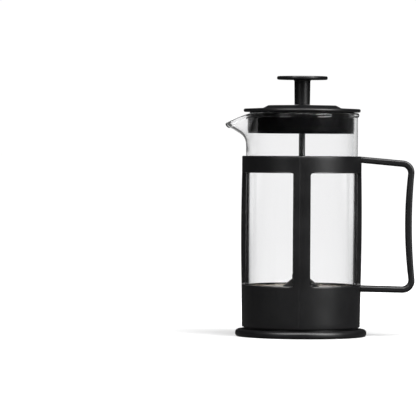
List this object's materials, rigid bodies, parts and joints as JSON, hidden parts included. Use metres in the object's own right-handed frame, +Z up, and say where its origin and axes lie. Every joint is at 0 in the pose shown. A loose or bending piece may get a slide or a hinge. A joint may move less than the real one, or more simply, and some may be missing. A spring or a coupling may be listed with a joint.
{
  "type": "french press",
  "caption": "Small french press: glass beaker with a spout in a black plastic holder with strap handle, lidded, with a steel filter plunger.",
  "frame": {"origin": "centre of the flat underside of the foot, on the beaker's axis", "axes": "+Z up along the plunger; +X towards the handle; -X towards the spout; Y across"},
  "size_m": [0.1193, 0.0824, 0.1631],
  "materials": {
    "holder_black": "satin black plastic with a fine moulded grain",
    "foot_black": "black plastic, smoother and a little glossier than the holder",
    "beaker_glass": "clear borosilicate glass with a faint green tint at the edges",
    "lid_black": "satin black plastic",
    "skirt_black": "glossy black plastic",
    "bush_black": "smooth black plastic",
    "knob_black": "satin black plastic",
    "insert_brass": "turned brass",
    "rod_steel": "ground stainless steel",
    "hub_black": "smooth black plastic",
    "plate_steel": "pressed stainless steel",
    "spring_steel": "drawn stainless spring wire",
    "mesh_steel": "fine woven stainless wire",
    "nut_steel": "turned stainless steel"
  },
  "bodies": {
    "holder": {"holder_frame": "holder_black", "handle": "holder_black", "base_foot": "foot_black"},
    "beaker": {"glass_beaker": "beaker_glass"},
    "lid_carrier": {"lid_guide_bush": "bush_black"},
    "lid": {"lid_cover": "lid_black", "lid_skirt": "skirt_black"},
    "plunger": {"knob": "knob_black", "knob_insert": "insert_brass", "plunger_rod": "rod_steel", "filter_hub": "hub_black", "spiral_plate": "plate_steel", "edge_spring": "spring_steel", "mesh_screen": "mesh_steel", "cross_plate": "plate_steel", "cross_plate_nut": "nut_steel"}
  },
  "joints": [
    {"name": "beaker_lift", "type": "slide", "parent": "holder", "child": "beaker", "axis": [0, 0, 1], "range_m": [0, 0.12]},
    {"name": "lid_lift", "type": "slide", "parent": "beaker", "child": "lid_carrier", "axis": [0, 0, 1], "range_m": [0, 0.125]},
    {"name": "lid_turn", "type": "hinge", "parent": "lid_carrier", "child": "lid", "pos_m": [0, 0, 0.142], "axis": [0, 0, 1], "continuous": true},
    {"name": "plunger_slide", "type": "slide", "parent": "lid_carrier", "child": "plunger", "axis": [0, 0, 1], "range_m": [0, 0.094]}
  ]
}
